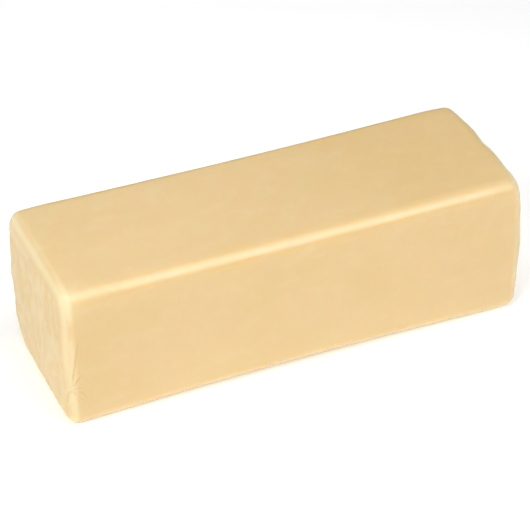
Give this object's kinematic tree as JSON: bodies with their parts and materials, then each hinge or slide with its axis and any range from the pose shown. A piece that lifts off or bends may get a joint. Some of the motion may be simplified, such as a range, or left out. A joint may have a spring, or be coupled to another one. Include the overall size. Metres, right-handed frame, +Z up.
{
  "type": "block of cheddar cheese",
  "caption": "Long block of pale yellow cheddar lying on its side, with rounded edges, slightly hollow long faces, worn corners and soft fold marks round both ends.",
  "frame": {"origin": "middle of the flat base, on the surface that the block lies on", "axes": "+X along the block's length, -Y towards its front face, +Z up"},
  "size_m": [0.2721, 0.0949, 0.0876],
  "materials": {
    "cheddar": "smooth close cheese skin, translucent, softly satin, pale butter yellow with a faint mottle"
  },
  "bodies": {
    "root": {"cheddar_block": "cheddar"}
  },
  "joints": []
}
